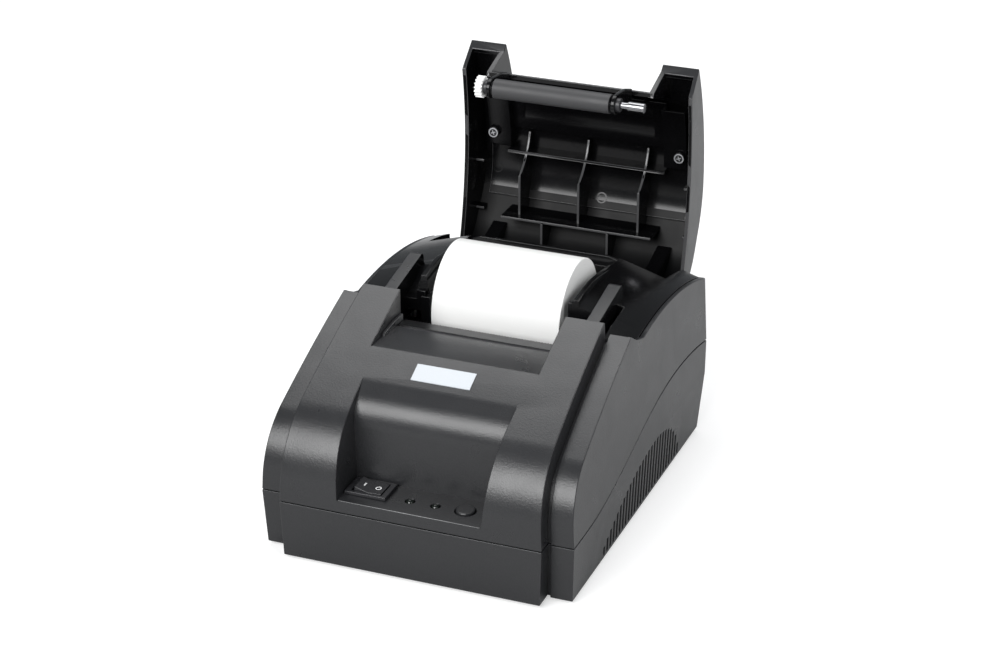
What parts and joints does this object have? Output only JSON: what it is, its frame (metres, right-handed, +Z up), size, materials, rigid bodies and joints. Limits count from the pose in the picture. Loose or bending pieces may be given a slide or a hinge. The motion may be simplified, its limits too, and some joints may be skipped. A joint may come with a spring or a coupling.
{
  "type": "thermal receipt printer",
  "caption": "Charcoal desktop thermal receipt printer with its clamshell lid swung open, a white paper roll in the bin, a front control recess with rocker switch, lamps and feed button.",
  "frame": {"origin": "Middle of the part's bounding box in X and Y, at the underside of the feet, with the lid fully open as in the picture", "axes": "X to the right seen from the front, Y from the front to the rear, Z up"},
  "size_m": [0.134, 0.2131, 0.1577],
  "materials": {
    "case": "moulded ABS with a fine even grain",
    "gloss_black": "smooth moulding, semi-gloss",
    "satin_black": "smooth satin moulding",
    "steel": "plain bright steel",
    "alloy": "plain extruded alloy",
    "ceramic": "glazed ceramic strip",
    "white_plastic": "natural acetal",
    "platen_rubber": "ground rubber",
    "foot_rubber": "plain rubber",
    "board": "solder resist over fibreglass",
    "chip": "moulded component bodies",
    "ribbon": "flexible film",
    "lamp": "tinted resin, unlit",
    "paper": "thermal paper",
    "core_card": "pale plastic core tube",
    "label": "bare coated plate"
  },
  "bodies": {
    "base": {"lower_case": "case", "upper_case": "case", "seat_frame": "gloss_black", "exit_ramp": "gloss_black", "tear_bar": "steel", "label_plate": "label", "rubber_feet": "foot_rubber", "case_screws": "steel", "mechanism_frame": "steel", "print_head": "ceramic", "heat_sink": "alloy", "head_springs": "steel", "gear_studs": "steel", "stepper_motor": "steel", "main_board": "board", "board_parts": "chip", "panel_board": "board", "indicator_lamps": "lamp", "rocker_housing": "satin_black", "power_inlet": "satin_black", "usb_port": "steel", "drawer_port": "satin_black", "head_ribbon": "ribbon", "paper_sensor": "chip", "lid_switch": "chip", "hinge_pins": "steel"},
    "lid": {"lid_shell": "gloss_black", "platen_carrier": "satin_black", "carrier_screws": "steel", "platen_bushes": "white_plastic"},
    "platen": {"platen_roller": "platen_rubber", "platen_shaft": "steel", "platen_gear": "white_plastic"},
    "roll": {"paper_roll": "paper", "roll_core": "core_card"},
    "pinion": {"motor_shaft": "steel", "motor_pinion": "white_plastic"},
    "idler": {"idler_gear": "white_plastic"},
    "drive": {"drive_gear": "white_plastic"},
    "rocker": {"power_rocker": "satin_black"},
    "button": {"feed_button": "satin_black"}
  },
  "joints": [
    {"name": "lid_hinge", "type": "hinge", "parent": "base", "child": "lid", "pos_m": [0, 0.06645, 0.0647], "axis": [1, 0, 0], "range_deg": [0, 90]},
    {"name": "platen_spin", "type": "hinge", "parent": "lid", "child": "platen", "pos_m": [0, 0.05305, 0.1514], "axis": [1, 0, 0], "continuous": true},
    {"name": "roll_spin", "type": "hinge", "parent": "base", "child": "roll", "pos_m": [0, 0.00985, 0.07265], "axis": [1, 0, 0], "continuous": true},
    {"name": "idler_spin", "type": "hinge", "parent": "base", "child": "idler", "pos_m": [0, -0.03349, 0.03421], "axis": [1, 0, 0], "continuous": true},
    {"name": "drive_spin", "type": "hinge", "parent": "base", "child": "drive", "pos_m": [0, -0.01845, 0.03968], "axis": [1, 0, 0], "continuous": true},
    {"name": "pinion_spin", "type": "hinge", "parent": "base", "child": "pinion", "pos_m": [0, -0.04485, 0.03116], "axis": [1, 0, 0], "continuous": true},
    {"name": "rocker_tilt", "type": "hinge", "parent": "base", "child": "rocker", "pos_m": [-0.0214, -0.09375, 0.0299], "axis": [0, -1, 0], "range_deg": [0, 14]},
    {"name": "feed_press", "type": "slide", "parent": "base", "child": "button", "axis": [0, 0, -1], "range_m": [0, 0.0012], "stiffness_N_per_m": 300, "springref_m": -0.0004}
  ],
  "couplings": [
    {"joint": "drive_spin", "follows": "idler_spin", "ratio": -1.1429},
    {"joint": "pinion_spin", "follows": "idler_spin", "ratio": -2.6667}
  ]
}
